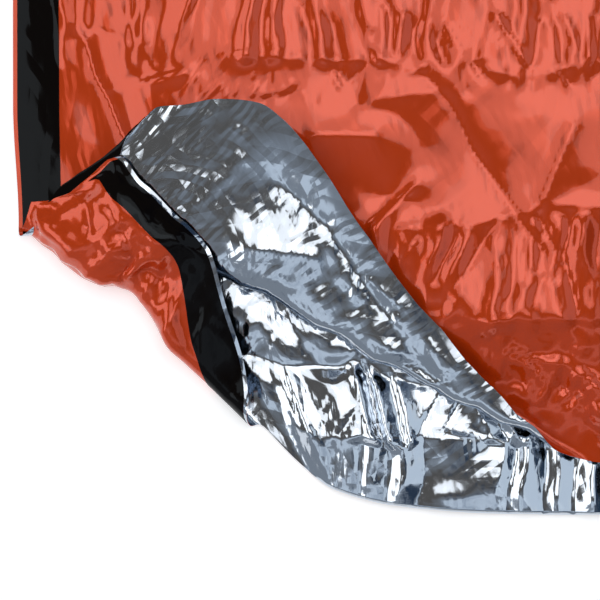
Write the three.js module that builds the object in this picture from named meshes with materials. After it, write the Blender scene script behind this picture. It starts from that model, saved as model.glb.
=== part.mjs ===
import * as THREE from "three";

// A film bivy bag lying on its bottom panel, its mouth open at the left corner.
// Millimetres, +Z up, the foot towards +Y and the mouth towards -Y. The origin is on the ground under the middle.
// Plan places in the tables are u, across from the left side, and v, back from the mouth.

// Bag, film and tape
const BAG_WIDTH = 910;
const BAG_LENGTH = 2130;
const FILM = 2;
const TAPE = 1;
const TAPE_WIDTH = 30;
const TAPE_INSET = 3;
const GAP = 0.3;
const SEAL = 6;

// Heights of the film's middle, and how far each slope of the top panel reaches
const LAYER_STEP = FILM + GAP;
const BOTTOM_HEIGHT = FILM / 2;
const TOP_HEIGHT = BOTTOM_HEIGHT + LAYER_STEP;
const TAPE_CLEARANCE = 0.3;
const TAPE_LIFT = TAPE_CLEARANCE + TAPE + GAP;
const TAPE_LIFT_END = 36;
const TAPE_LIFT_FADE = 30;
const LOFT = 30;
const MOUTH_RISE = 10;
const SIDE_SLOPE = 130;
const MOUTH_SLOPE = 105;
const FOOT_SLOPE = 160;
const FOLD_DRIFT = 90;

// How the top panel lies at its mouth, a row for each place across the cut panel: how far the film is drawn in
// from its side, where its fold's axis passes, how far that axis turns clockwise from straight across, the fold's
// radius, the length of film past the fold, and how high the turned-back rim lies. A row with no film past the
// fold gives the rim itself.
const TOP_SECTIONS = [
  { across: 0, drift: 8, foldV: 209, tilt: 26.8, radius: 6.7, past: 102.5, rimHeight: 29 },
  { across: 13, drift: 4, foldV: 206, tilt: 25.3, radius: 7, past: 109.3, rimHeight: 30 },
  { across: 26, drift: 2, foldV: 203, tilt: 23.2, radius: 7, past: 114.9, rimHeight: 31.5 },
  { across: 40, drift: 1, foldV: 200, tilt: 20.6, radius: 7, past: 121.1, rimHeight: 33.5 },
  { across: 56, drift: 0, foldV: 196.5, tilt: 18.1, radius: 7, past: 129.3, rimHeight: 36 },
  { across: 74, drift: 0, foldV: 193, tilt: 16.5, radius: 7, past: 137.9, rimHeight: 38.5 },
  { across: 100, drift: 0, foldV: 188, tilt: 15.5, radius: 7, past: 145.0, rimHeight: 41 },
  { across: 116, drift: 0, foldV: 184.5, tilt: 18, radius: 7, past: 140, rimHeight: 42 },
  { across: 144, drift: 0, foldV: 178.5, tilt: 21.5, radius: 7, past: 120, rimHeight: 41 },
  { across: 182, drift: 0, foldV: 160.5, tilt: 24, radius: 7, past: 96, rimHeight: 39 },
  { across: 213, drift: 0, foldV: 142.5, tilt: 25, radius: 7, past: 81, rimHeight: 37 },
  { across: 243, drift: 0, foldV: 124, tilt: 25.5, radius: 7, past: 69, rimHeight: 35 },
  { across: 273, drift: 0, foldV: 108.5, tilt: 26, radius: 7, past: 56, rimHeight: 32 },
  { across: 303, drift: 0, foldV: 93, tilt: 26, radius: 7, past: 44, rimHeight: 30 },
  { across: 333, drift: 0, foldV: 79.5, tilt: 24, radius: 7, past: 32, rimHeight: 28 },
  { across: 363, drift: 0, foldV: 66, tilt: 24, radius: 7, past: 20, rimHeight: 27 },
  { across: 385, drift: 0, foldV: 55, tilt: 24, radius: 7, past: 10, rimHeight: 27 },
  { across: 413, drift: 0, foldV: 40, tilt: 24, radius: 7, past: 0, rimHeight: 27 },
  { across: 600, drift: 0, foldV: 12, tilt: 24, radius: 7, past: 0, rimHeight: 27 },
  { across: 910, drift: 0, foldV: 0, tilt: 24, radius: 7, past: 0, rimHeight: 27 },
];

// The same for the bottom panel, whose corner is folded up and over. The arch is how far the turned-over film
// puffs up between the fold and the rim.
const BOTTOM_SECTIONS = [
  { across: 0, drift: 8, foldV: 209, tilt: 26, radius: 10, past: 109, rimHeight: 34, arch: 0 },
  { across: 20, drift: 4, foldV: 203.5, tilt: 26, radius: 17, past: 117, rimHeight: 37, arch: 5 },
  { across: 50, drift: 5.5, foldV: 182.5, tilt: 25, radius: 18, past: 112, rimHeight: 37, arch: 6 },
  { across: 79, drift: 2, foldV: 173, tilt: 28, radius: 13, past: 91, rimHeight: 35, arch: 3 },
  { across: 108, drift: 1.5, foldV: 130, tilt: 25, radius: 10, past: 72, rimHeight: 28, arch: 2 },
  { across: 144, drift: 0.5, foldV: 94.5, tilt: 27, radius: 8, past: 40, rimHeight: 18, arch: 0 },
  { across: 164, drift: 0, foldV: 76, tilt: 32, radius: 8, past: 16, rimHeight: 17, arch: 0 },
  { across: 178, drift: 0, foldV: 62, tilt: 35, radius: 8, past: 0, rimHeight: 17, arch: 0 },
  { across: 203, drift: 0, foldV: 36.5, tilt: 35, radius: 8, past: 0, rimHeight: 17, arch: 0 },
  { across: 228, drift: 0, foldV: 17.5, tilt: 35, radius: 8, past: 0, rimHeight: 17, arch: 0 },
  { across: 273, drift: 0, foldV: 6, tilt: 35, radius: 8, past: 0, rimHeight: 17, arch: 0 },
  { across: 336, drift: 0, foldV: 1, tilt: 35, radius: 8, past: 0, rimHeight: 17, arch: 0 },
  { across: 413, drift: 0, foldV: 0, tilt: 35, radius: 8, past: 0, rimHeight: 17, arch: 0 },
  { across: 910, drift: 0, foldV: 0, tilt: 35, radius: 8, past: 0, rimHeight: 17, arch: 0 },
];

// Main creases of each panel, from one plan place to another; a trough has a negative height
const TOP_CREASES = [
  { fromU: 170, fromV: 313, toU: 560, toV: 318, height: -5, width: 20 },
  { fromU: 269, fromV: 176, toU: 343, toV: 211, height: 5, width: 20 },
  { fromU: 343, fromV: 211, toU: 480, toV: 222, height: 5, width: 20 },
  { fromU: 301, fromV: 295, toU: 371, toV: 183, height: -6, width: 20 },
  { fromU: 52, fromV: 348, toU: 84, toV: 257, height: -5, width: 20 },
];
const BOTTOM_CREASES = [
  { fromU: 200, fromV: 66, toU: 390, toV: 53, height: 5, width: 9 },
  { fromU: 159, fromV: 115, toU: 231, toV: 103, height: 5, width: 10 },
];

// Folds left by packing the bag small: lines along it at its quarters, and lines across it at an even pitch
const PACKING = { pitch: 177.5, first: 480, last: 2000, side: 70, height: 4, width: 30 };
const QUARTERS = [0.25, 0.5, 0.75];

// Mesh lines across each panel, as bands that end at a place and hold a number of steps
const TOP_COLUMNS = [
  { to: TAPE_INSET, steps: 1 },
  { to: TAPE_INSET + TAPE_WIDTH, steps: 5 },
  { to: 420, steps: 23 },
  { to: BAG_WIDTH / 2, steps: 1 },
  { to: BAG_WIDTH * 0.75, steps: 3 },
  { to: BAG_WIDTH - SEAL, steps: 4 },
  { to: BAG_WIDTH, steps: 1 },
];
const BOTTOM_COLUMNS = [
  { to: TAPE_INSET, steps: 1 },
  { to: 105, steps: 9 },
  { to: 189, steps: 14 },
  { to: 420, steps: 10 },
  { to: BAG_WIDTH - TAPE_INSET, steps: 6 },
  { to: BAG_WIDTH, steps: 1 },
];

// Mesh lines along each panel, counted back from the rim, past the fold and behind the fold
const TOP_ROWS = {
  rim: [],
  past: [{ to: 24, steps: 4 }, { to: 150, steps: 11 }],
  behind: [
    { to: 126, steps: 9 },
    { to: 346, steps: 10 },
    { to: BAG_LENGTH - SEAL, steps: 17 },
    { to: BAG_LENGTH, steps: 1 },
  ],
};
const BOTTOM_ROWS = {
  rim: [{ to: TAPE_INSET, steps: 1 }, { to: TAPE_INSET + TAPE_WIDTH, steps: 5 }],
  past: [{ to: 117, steps: 13 }],
  behind: [{ to: 160, steps: 10 }, { to: BAG_LENGTH, steps: 8 }],
};
const SHORTEST_STEP = 2.5;
const NORMAL_STEP = 0.5;

// Eases from 0 to 1 as x goes from 0 to 1
function ease(x) {
  const t = THREE.MathUtils.clamp(x, 0, 1);
  return t * t * (3 - 2 * t);
}

// Slope of a table's column at one row: the harmonic mean of its neighbours', so that curves never overshoot
function slopeAt(sections, name, i) {
  if (i === 0 || i === sections.length - 1) return 0;
  const rise = (k) => (sections[k + 1][name] - sections[k][name]) / (sections[k + 1].across - sections[k].across);
  const before = rise(i - 1);
  const after = rise(i);
  return before * after > 0 ? (2 * before * after) / (before + after) : 0;
}

// One column of a table at any place across, on a smooth curve through its rows
function valueAt(sections, name, across) {
  let i = 0;
  while (i < sections.length - 2 && sections[i + 1].across < across) i += 1;
  const span = sections[i + 1].across - sections[i].across;
  const t = (across - sections[i].across) / span;
  const start = sections[i][name];
  const end = sections[i + 1][name];
  const pull = (slopeAt(sections, name, i) * (1 - t) - slopeAt(sections, name, i + 1) * t) * span;
  return start + (end - start) * ease(t) + pull * t * (1 - t);
}

// The section of a panel at any place across
function sectionAt(sections, across) {
  const section = {};
  for (const name of Object.keys(sections[0])) section[name] = valueAt(sections, name, across);
  section.foldU = across + section.drift;
  return section;
}

// Height of a straight crease at a plan place: a round ridge or trough that fades past its ends
function creaseHeight(crease, u, v) {
  const alongU = crease.toU - crease.fromU;
  const alongV = crease.toV - crease.fromV;
  const share = ((u - crease.fromU) * alongU + (v - crease.fromV) * alongV) / (alongU ** 2 + alongV ** 2);
  const t = THREE.MathUtils.clamp(share, 0, 1);
  const away = Math.hypot(u - crease.fromU - t * alongU, v - crease.fromV - t * alongV);
  return crease.height * Math.exp(-((away / crease.width) ** 2));
}

// All packing folds of the bag as creases, ridges and troughs by turns
function packingCreases() {
  const folds = QUARTERS.map((quarter, i) => {
    const u = BAG_WIDTH * quarter;
    const height = i % 2 ? PACKING.height : -PACKING.height;
    return { fromU: u, fromV: PACKING.first, toU: u, toV: PACKING.last, height, width: PACKING.width };
  });
  for (let v = PACKING.first, up = 1; v <= PACKING.last; v += PACKING.pitch, up = -up) {
    const height = up * PACKING.height;
    const toU = BAG_WIDTH - PACKING.side;
    folds.push({ fromU: PACKING.side, fromV: v, toU, toV: v, height, width: PACKING.width });
  }
  return folds;
}

// Extra height near the mouth, where the mouth tape lies under the bottom panel
function tapeLift(fromRim) {
  return TAPE_LIFT * (1 - ease((fromRim - TAPE_LIFT_END) / TAPE_LIFT_FADE));
}

// Share of the top panel's loft at a place: none at the seals, full in the middle
function puff(across, fromRim) {
  const side = ease((Math.min(across, BAG_WIDTH - across) - SEAL) / SIDE_SLOPE);
  const foot = ease((BAG_LENGTH - SEAL - fromRim) / FOOT_SLOPE);
  return side * foot;
}

// Height of the lying part of the top panel, at a distance behind its fold or rim
function topHeight({ across, fromRim, behind, creases }) {
  const back = ease(behind / MOUTH_SLOPE);
  const loft = MOUTH_RISE + (LOFT - MOUTH_RISE) * back + creases * back;
  return TOP_HEIGHT + tapeLift(fromRim) + puff(across, fromRim) * loft;
}

// Height of the lying part of the bottom panel, which stays on the ground except at the mouth tape and creases
function bottomHeight({ fromRim, creases }) {
  return BOTTOM_HEIGHT + tapeLift(fromRim) + creases;
}

// A point of a panel's middle surface, from its place on the flat cut panel: across it, and back from its rim.
// Film behind the fold lies flat, then it rolls round the fold's axis, and past half a turn it lies on top.
function panelPoint(panel, across, fromRim) {
  const s = sectionAt(panel.sections, across);
  const behind = fromRim - s.past;
  if (behind >= 0) {
    const stretch = (BAG_LENGTH - s.foldV) / (BAG_LENGTH - s.past);
    const u = across + (s.foldU - across) * (1 - ease(behind / FOLD_DRIFT));
    const v = s.foldV + behind * stretch;
    const creases = panel.creases.reduce((sum, crease) => sum + creaseHeight(crease, u, v), 0);
    return new THREE.Vector3(u, v, panel.height({ across, fromRim, behind, creases }));
  }
  const tilt = THREE.MathUtils.degToRad(s.tilt);
  const beyond = -behind * Math.cos(tilt);
  const along = -behind * Math.sin(tilt);
  const halfTurn = Math.PI * s.radius;
  const angle = Math.min(beyond / s.radius, Math.PI);
  const out = s.radius * Math.sin(angle) - Math.max(beyond - halfTurn, 0);
  const foldHeight = panel.height({ across, fromRim: s.past, behind: 0, creases: 0 });
  let height = foldHeight + s.radius * (1 - Math.cos(angle));
  const topLength = s.past * Math.cos(tilt) - halfTurn;
  if (beyond > halfTurn && topLength > 0) {
    const share = (beyond - halfTurn) / topLength;
    height += (s.rimHeight - foldHeight - 2 * s.radius) * share + (s.arch || 0) * 4 * share * (1 - share);
  }
  const u = s.foldU - out * Math.sin(tilt) + along * Math.cos(tilt);
  const v = s.foldV - out * Math.cos(tilt) - along * Math.sin(tilt);
  return new THREE.Vector3(u, v, height);
}

// Places of a set of mesh lines, from bands
function linesOf(bands) {
  const lines = [0];
  for (const band of bands) {
    const start = lines[lines.length - 1];
    for (let i = 1; i <= band.steps; i += 1) lines.push(start + ((band.to - start) * i) / band.steps);
  }
  return lines;
}

// Places of a panel's mesh rows at one place across. Rows that would lie ahead of the rim's own stay on the last.
function rowPlaces(panel, across) {
  const past = valueAt(panel.sections, "past", across);
  const rim = linesOf(panel.rows.rim);
  const last = rim[rim.length - 1];
  const ahead = linesOf(panel.rows.past).reverse().map((length) => past - length);
  const behind = linesOf(panel.rows.behind).slice(1).map((length) => past + length * (1 - past / BAG_LENGTH));
  return [...rim, ...[...ahead, ...behind].map((place) => (place < last + SHORTEST_STEP ? last : place))];
}

// Normal of a panel's upper side at a place on the flat cut panel
function panelNormal(panel, across, fromRim) {
  const left = panelPoint(panel, Math.max(across - NORMAL_STEP, 0), fromRim);
  const right = panelPoint(panel, Math.min(across + NORMAL_STEP, BAG_WIDTH), fromRim);
  const front = panelPoint(panel, across, Math.max(fromRim - NORMAL_STEP, 0));
  const back = panelPoint(panel, across, Math.min(fromRim + NORMAL_STEP, BAG_LENGTH));
  return right.sub(left).cross(back.sub(front)).normalize();
}

// A panel's middle surface as a grid of points with the normals of its upper side
function panelGrid(panel) {
  const columns = linesOf(panel.columns);
  const places = columns.map((across) => rowPlaces(panel, across));
  const points = columns.map((across, i) => places[i].map((fromRim) => panelPoint(panel, across, fromRim)));
  const normals = columns.map((across, i) => places[i].map((fromRim) => panelNormal(panel, across, fromRim)));
  return { columns, places, points, normals, rowCount: places[0].length };
}

// A closed slab between two heights over part of a panel's grid, measured along the normals of its upper side
function slab(grid, low, high, columnRange, rowRange) {
  const positions = [];
  const indices = [];
  const [firstColumn, lastColumn] = columnRange.map((place) => grid.columns.indexOf(place));
  const [firstRow, lastRow] = rowRange;
  const rowCount = lastRow - firstRow + 1;
  const columnCount = lastColumn - firstColumn + 1;
  for (const offset of [low, high]) {
    for (let i = firstColumn; i <= lastColumn; i += 1) {
      for (let j = firstRow; j <= lastRow; j += 1) {
        const p = grid.points[i][j].clone().addScaledVector(grid.normals[i][j], offset);
        positions.push(p.x - BAG_WIDTH / 2, p.y - BAG_LENGTH / 2, p.z);
      }
    }
  }
  const layer = rowCount * columnCount;
  // Rows that share a place share their points
  const at = (i, j) => {
    const places = grid.places[firstColumn + i];
    return i * rowCount + Math.max(places.indexOf(places[firstRow + j]) - firstRow, 0);
  };
  const triangle = (a, b, c) => {
    if (a === b || b === c || c === a) return;
    indices.push(a + layer, b + layer, c + layer, a, c, b);
  };
  const middle = (i, j) => grid.points[firstColumn + i][firstRow + j];
  for (let i = 0; i < columnCount - 1; i += 1) {
    for (let j = 0; j < rowCount - 1; j += 1) {
      const [a, b, c, d] = [at(i, j), at(i + 1, j), at(i + 1, j + 1), at(i, j + 1)];
      const rising = middle(i, j).distanceTo(middle(i + 1, j + 1));
      const falling = middle(i + 1, j).distanceTo(middle(i, j + 1));
      if (rising < falling) {
        triangle(a, b, c);
        triangle(a, c, d);
      } else {
        triangle(a, b, d);
        triangle(b, c, d);
      }
    }
  }
  const wall = (a, b) => {
    if (a !== b) indices.push(a, b, b + layer, a, b + layer, a + layer);
  };
  for (let i = 0; i < columnCount - 1; i += 1) {
    wall(at(i, 0), at(i + 1, 0));
    wall(at(i + 1, rowCount - 1), at(i, rowCount - 1));
  }
  for (let j = 0; j < rowCount - 1; j += 1) {
    wall(at(0, j + 1), at(0, j));
    wall(at(columnCount - 1, j), at(columnCount - 1, j + 1));
  }
  const geometry = new THREE.BufferGeometry();
  geometry.setAttribute("position", new THREE.Float32BufferAttribute(positions, 3));
  geometry.setIndex(indices);
  geometry.computeVertexNormals();
  return geometry;
}

const topPanel = {
  sections: TOP_SECTIONS,
  creases: [...TOP_CREASES, ...packingCreases()],
  height: topHeight,
  columns: TOP_COLUMNS,
  rows: TOP_ROWS,
};
const bottomPanel = {
  sections: BOTTOM_SECTIONS,
  creases: BOTTOM_CREASES,
  height: bottomHeight,
  columns: BOTTOM_COLUMNS,
  rows: BOTTOM_ROWS,
};

const film = new THREE.MeshStandardMaterial({ color: "#c4512f", roughness: 0.25, metalness: 0 });
const tape = new THREE.MeshStandardMaterial({ color: "#0f0c0b", roughness: 0.3, metalness: 0 });

const topGrid = panelGrid(topPanel);
const bottomGrid = panelGrid(bottomPanel);
const wholeWidth = [0, BAG_WIDTH];
const tapeSpan = [TAPE_INSET, TAPE_INSET + TAPE_WIDTH];
const tapeNear = FILM / 2 + GAP;
const tapeFar = tapeNear + TAPE;
const wholeLength = (grid) => [0, grid.rowCount - 1];
const mouthSpan = tapeSpan.map((place) => bottomGrid.places[0].indexOf(place));
const mouthWidth = [TAPE_INSET, BAG_WIDTH - TAPE_INSET];

const solids = {
  bottom_panel: [slab(bottomGrid, -FILM / 2, FILM / 2, wholeWidth, wholeLength(bottomGrid)), film],
  top_panel: [slab(topGrid, -FILM / 2, FILM / 2, wholeWidth, wholeLength(topGrid)), film],
  side_tape: [slab(topGrid, tapeNear, tapeFar, tapeSpan, wholeLength(topGrid)), tape],
  mouth_tape: [slab(bottomGrid, -tapeFar, -tapeNear, mouthWidth, mouthSpan), tape],
};

const bag = new THREE.Group();
for (const [name, [geometry, material]] of Object.entries(solids)) {
  const mesh = new THREE.Mesh(geometry, material);
  mesh.name = name;
  bag.add(mesh);
}

export default bag;
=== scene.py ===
"""Film bivy bag: crumpled orange and silver film with black tapes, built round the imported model."""

import bpy
import numpy as np
from bpy.props import FloatProperty, FloatVectorProperty, IntProperty, PointerProperty
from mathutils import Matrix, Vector


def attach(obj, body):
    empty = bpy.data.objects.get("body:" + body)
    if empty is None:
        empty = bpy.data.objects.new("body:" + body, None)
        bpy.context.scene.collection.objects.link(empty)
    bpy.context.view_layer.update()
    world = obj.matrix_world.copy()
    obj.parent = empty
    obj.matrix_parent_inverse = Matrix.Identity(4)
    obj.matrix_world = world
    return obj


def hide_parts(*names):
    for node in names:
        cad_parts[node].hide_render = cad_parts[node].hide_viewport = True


bl_info = {
    "name": "Film bivy bag",
    "version": (1, 0, 0),
    "blender": (4, 5, 0),
    "location": "3D View > Sidebar > Bivy bag",
    "description": "Builds a crumpled film bivy bag, its tapes and a plain studio",
    "category": "Add Mesh",
}

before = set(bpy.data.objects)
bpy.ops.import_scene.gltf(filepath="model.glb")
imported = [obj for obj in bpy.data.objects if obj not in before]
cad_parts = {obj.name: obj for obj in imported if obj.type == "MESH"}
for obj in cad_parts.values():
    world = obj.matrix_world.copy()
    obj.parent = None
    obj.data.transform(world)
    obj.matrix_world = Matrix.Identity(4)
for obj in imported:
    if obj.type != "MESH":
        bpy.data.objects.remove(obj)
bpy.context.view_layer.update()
MM = 0.001

# Heights of the film's middle and reach of the top panel's slopes, in mm; the slope at the mouth is given
# by places across and its reach there
BOTTOM_HEIGHT = 1.0
TOP_HEIGHT = 3.3
TAPE_LIFT = 1.6
TAPE_LIFT_END = 36.0
TAPE_LIFT_FADE = 30.0
MOUTH_RISE = 10.0
SEAL = 6.0
SIDE_SLOPE = 130.0
MOUTH_SLOPE = ((0, 243, 303, 333, 363, 413, 600), (105, 105, 80, 60, 72, 98, 105))
FOOT_SLOPE = 160.0
FOLD_DRIFT = 90.0

# How each panel lies at its mouth, a row for each place across the cut panel, in mm and degrees
SECTION_COLUMNS = ("across", "drift", "fold_v", "tilt", "radius", "past", "rim_height", "arch")
TOP_SECTIONS = np.array([
    (0, 4, 205.5, 26, 6.7, 101, 30, 0),
    (13, 2.5, 206, 22, 7, 109, 31, 0),
    (26, 1.5, 205, 19, 7, 118, 32.5, 0),
    (40, 1, 202, 17, 7, 127, 34.5, 0),
    (56, 0, 198, 16.5, 7, 133, 39, 0),
    (74, 0, 194, 16.5, 7, 141, 43, 0),
    (100, 0, 188, 17, 7, 146, 47, 0),
    (116, 0, 184.5, 18, 7, 140, 48, 0),
    (144, 0, 178.5, 21.5, 7, 120, 46, 1),
    (182, 0, 160.5, 24, 7, 96, 41, 2),
    (213, 0, 142.5, 25, 7, 81, 37, 2),
    (243, 0, 124, 25.5, 7, 69, 35, 2),
    (273, 0, 108.5, 26, 7, 56, 32, 2),
    (303, 0, 93, 26, 7, 44, 30, 1),
    (333, 0, 79.5, 24, 7, 32, 28, 0),
    (363, 0, 66, 24, 7, 20, 27, 0),
    (385, 0, 55, 24, 7, 10, 27, 0),
    (413, 0, 40, 24, 7, 0, 27, 0),
    (600, 0, 12, 24, 7, 0, 27, 0),
    (910, 0, 0, 24, 7, 0, 27, 0),
], float)
BOTTOM_SECTIONS = np.array([
    (0, 8, 209, 26, 10, 109, 34, 0),
    (20, 4, 203.5, 26, 17, 122, 37, 5),
    (50, 5.5, 182.5, 25, 18, 118, 37, 6),
    (79, 2, 173, 28, 13, 93, 35, 3),
    (108, 1.5, 130, 25, 10, 72, 28, 2),
    (144, 0.5, 94.5, 27, 8, 40, 18, 0),
    (164, 0, 76, 32, 8, 16, 17, 0),
    (178, 0, 62, 35, 8, 0, 17, 0),
    (203, 0, 36.5, 35, 8, 0, 17, 0),
    (228, 0, 17.5, 35, 8, 0, 17, 0),
    (273, 0, 6, 35, 8, 0, 17, 0),
    (336, 0, 1, 35, 8, 0, 17, 0),
    (413, 0, 0, 35, 8, 0, 17, 0),
    (910, 0, 0, 35, 8, 0, 17, 0),
], float)

# How far the seam bulges at the folded corner, by the distance from the fold, in the bottom and the top
# film, mm; then which way, its fade and its roll across, and the share of it that starts inside the seam
SEAM_PLACES = (0, 15, 28, 40, 52, 66, 85, 101, 109)
BOTTOM_SEAM = (0, 4, 10, 19, 12, 7, 7, 8, 5)
TOP_SEAM = (0, 0, 0, 9, 11, 8.5, 3.5, 1, 1)
SEAM_OUT = (-0.62, 0.79)
SEAM_FADE = 26.0
SEAM_ROLL = 8.0
SEAM_INSIDE = 0.4

# The cuff's rim curls over at its left end and shows the tape on its outside, mm
RIM_CURL = 7.5
RIM_CURL_START = 15.0
RIM_CURL_END = 28.0
RIM_CURL_FADE = 10.0
RIM_CURL_LIFT = 1.6

# The mouth tape is drawn together at the folded corner: how far its inner edge moves in mm, which way, where
# that starts, fades and ends, and its rise for each mm of the move
TAPE_GATHER = 10.0
GATHER_OUT = (0.69, 0.72)
GATHER_START = 7.0
GATHER_FADE = 45.0
GATHER_END = 70.0
GATHER_END_FADE = 45.0
GATHER_RISE = 0.3

# The film outside the mouth tape waves along the folded corner's rim, mm
RIM_WAVE = 1.6
RIM_WAVE_LENGTH = 14.0
RIM_WAVE_REACH = 6.0
RIM_WAVE_END = 130.0
RIM_WAVE_FADE = 35.0

# Creases as plan lines, with u across from the left side and v back from the mouth, mm. Columns: start u
# and v, end u and v, height, and reach of the flanks to the left and to the right; a trough has a negative
# height. The broad forms lie under the top film's creases and are added to them.
TOP_CREASES = np.array([
    (161, 323, 185, 328, 1.8, 12, 9),
    (185, 328, 203, 322, 2.4, 16, 11),
    (203, 322, 215, 319, 1.0, 12, 5),
    (215, 319, 243, 318, 2.4, 16, 10),
    (243, 318, 253, 319, 1.0, 10, 5),
    (253, 319, 269, 317, 2.8, 14, 12),
    (269, 317, 283, 312, 1.4, 12, 6),
    (283, 312, 311, 314, 3.0, 16, 14),
    (311, 314, 335, 311, 1.0, 12, 5),
    (335, 311, 351, 308, 2.8, 14, 10),
    (351, 308, 375, 309, 1.6, 16, 9),
    (375, 309, 392, 314, 2.8, 14, 11),
    (392, 314, 413, 314, 2.2, 16, 8),
    (413, 314, 560, 316, 2.4, 14, 10),
    (93, 345, 98, 318, 3, 5, 12),
    (372, 222, 392, 272, 3, 8, 16),
    (93, 302, 122, 310, 4, 6, 14),
    (153, 323, 203, 321, 3, 6, 18),
    (40, 350, 82, 332, 4, 10, 20),
    (289, 308, 309, 288, -2.2, 5.5, 10),
    (309, 288, 323, 258, -2.2, 5.5, 10),
    (323, 258, 349, 218, -2.2, 5.5, 10),
    (349, 218, 373, 184, -2.2, 5.5, 10),
    (51, 336, 59, 310, -5, 7, 9),
    (59, 310, 69, 292, -5, 7, 9),
    (69, 292, 81, 262, -5, 7, 9),
    (255, 204, 289, 202, 2.2, 14, 9),
    (289, 202, 333, 206, 2.2, 14, 9),
    (333, 206, 377, 218, 2.2, 14, 9),
    (377, 218, 430, 214, 2.2, 14, 9),
    (254, 202, 283, 232, 4, 5, 16),
    (294, 140, 420, 137, 4, 30, 14),
    (420, 137, 560, 140, 4, 30, 14),
], float)
TOP_BROAD = np.array([
    (256, 292, 296, 297, 5, 20, 65),
    (262, 224, 280, 222, -7, 60, 35),
    (215, 267, 254, 266, 8, 30, 34),
    (220, 236, 250, 238, -3, 30, 25),
], float)
CUFF_CREASES = np.array([
    (136, 274, 163, 260, -0.5, 6, 2),
    (163, 260, 190, 233, -1.2, 8, 2.5),
    (190, 233, 221, 204, -6, 12, 34),
    (221, 204, 238, 178, -5, 14, 16),
    (238, 178, 262, 144, -5, 14, 14),
    (262, 144, 294, 96, -4, 14, 11),
    (165, 188, 210, 182, 3, 20, 8),
    (164, 250, 130, 218, 1, 5, 4),
    (158, 240, 140, 224, 1, 4, 4),
], float)
BOTTOM_CREASES = np.array([
    (196, 64, 221, 56, 7, 34, 40),
    (221, 56, 269, 54, 8, 40, 44),
    (269, 54, 323, 56, 8, 40, 44),
    (323, 56, 338, 52, 4, 30, 20),
    (338, 50, 389, 46, -5, 12, 45),
    (389, 46, 470, 48, -5, 14, 45),
    (157, 116, 191, 106, -4, 9, 18),
    (191, 106, 235, 104, -4, 9, 18),
    (235, 104, 290, 92, -3, 9, 16),
], float)
FLAP_CREASES = np.array([
    (14, 210, 66, 246, 2, 6, 8),
    (24, 204, 84, 236, 4, 7, 9),
    (80, 161, 87, 182, -6, 6, 6),
    (87, 182, 72, 214, -4, 6, 6),
    (80, 161, 100, 170, -4, 6, 6),
    (34, 178, 78, 206, 3, 6, 7),
    (52, 168, 86, 196, 3, 5, 6),
    (70, 236, 84, 214, 3, 5, 7),
    (92, 152, 112, 186, 3, 6, 6),
    (110, 132, 128, 170, 3, 6, 6),
], float)

# Groups of small wrinkles. Columns: start u and v and end u and v of the line that they start from, mean
# direction and its spread in degrees, reach, number, height and width
TOP_WRINKLES = (
    (165, 322, 413, 314, 100, 22, 46, 24, 2.0, 3.4),
    (165, 318, 413, 310, -90, 40, 16, 24, 1.6, 3.0),
    (255, 203, 430, 213, -95, 30, 55, 26, 1.8, 3.0),
    (330, 128, 413, 90, -70, 60, 30, 34, 3.0, 3.4),
    (300, 150, 430, 142, 85, 25, 40, 18, 1.6, 3.0),
    (40, 300, 250, 290, 70, 60, 50, 22, 1.2, 3.0),
)
CUFF_WRINKLES = (
    (75, 215, 120, 190, 45, 20, 70, 26, 0.15, 2.4),
    (180, 245, 300, 110, -70, 40, 40, 34, 1.5, 2.6),
    (165, 180, 240, 170, 40, 60, 35, 22, 1.6, 3.0),
)
BOTTOM_WRINKLES = (
    (185, 50, 420, 52, -92, 14, 46, 26, 1.4, 3.6),
    (185, 58, 400, 58, 65, 25, 48, 30, 1.8, 3.2),
    (165, 112, 260, 104, 60, 50, 35, 16, 1.6, 3.0),
)
FLAP_WRINKLES = (
    (20, 215, 78, 245, -60, 40, 60, 14, 1.8, 3.4),
    (85, 170, 130, 120, 35, 40, 60, 14, 1.8, 3.4),
)

# Crumple: sets of straight fold lines (spacing in mm, slope, number of directions) and layers of flat
# facets (lattice size and height in mm)
TOP_FOLDS = ((190.0, 0.018, 4), (80.0, 0.016, 5))
CUFF_FOLDS = ((80.0, 0.06, 4), (36.0, 0.06, 5))
FLAP_FOLDS = ((50.0, 0.15, 4), (26.0, 0.17, 5))
FAR_FOLDS = ((260.0, 0.04, 4), (130.0, 0.05, 4))
TOP_FACETS = ((34.0, 0.5),)
FAR_FACETS = ((110.0, 5.0), (60.0, 2.5))
CUFF_FACETS = ((31.0, 1.4), (14.0, 0.7))
FLAP_FACETS = ((26.0, 2.0), (12.0, 0.3))

# Fine crinkles of each material: direction in degrees, spacing in mm and slope; then the size in spacings
# of the patches that they show in
FILM_CRINKLES = ((8, 19, 0.02), (41, 13, 0.015), (-35, 24, 0.02), (-12, 7, 0.025))
SILVER_CRINKLES = ((12, 16, 0.03), (48, 11, 0.03), (-40, 21, 0.03), (80, 13, 0.03), (-8, 6, 0.04))
TAPE_CRINKLES = ((5, 12, 0.02), (60, 30, 0.02), (-50, 22, 0.02))
CRINKLE_PATCH = 2.5

# Size of the film's patches of deeper colour, mm: nine in a metre
FILM_PATCH = 1000.0 / 9.0

# Corners along a side of the facets' lattice, the height of its triangles for a side of 1, the size of the
# film's livelier and stiller patches, how far wrinkles stray from their line, mm, and how many pleats differ
LATTICE = 128
TRIANGLE = 0.866
LIVELY_PATCH = 150.0
WRINKLE_STRAY = 3
PLEAT_COUNT = 512

# Pleats: spacing and height, mm. The top film's hang behind its cross crease and are gathered in front of
# it; those of the silver inside lie below and above a ridge across it, and the upper ones lean
HUNG_PLEATS = (19.0, 3.5)
GATHERED_PLEATS = (22.0, 5.5)
BELOW_PLEATS = (34.0, 10.5)
ABOVE_PLEATS = (27.0, 6.5)
ABOVE_LEAN = 0.35

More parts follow.
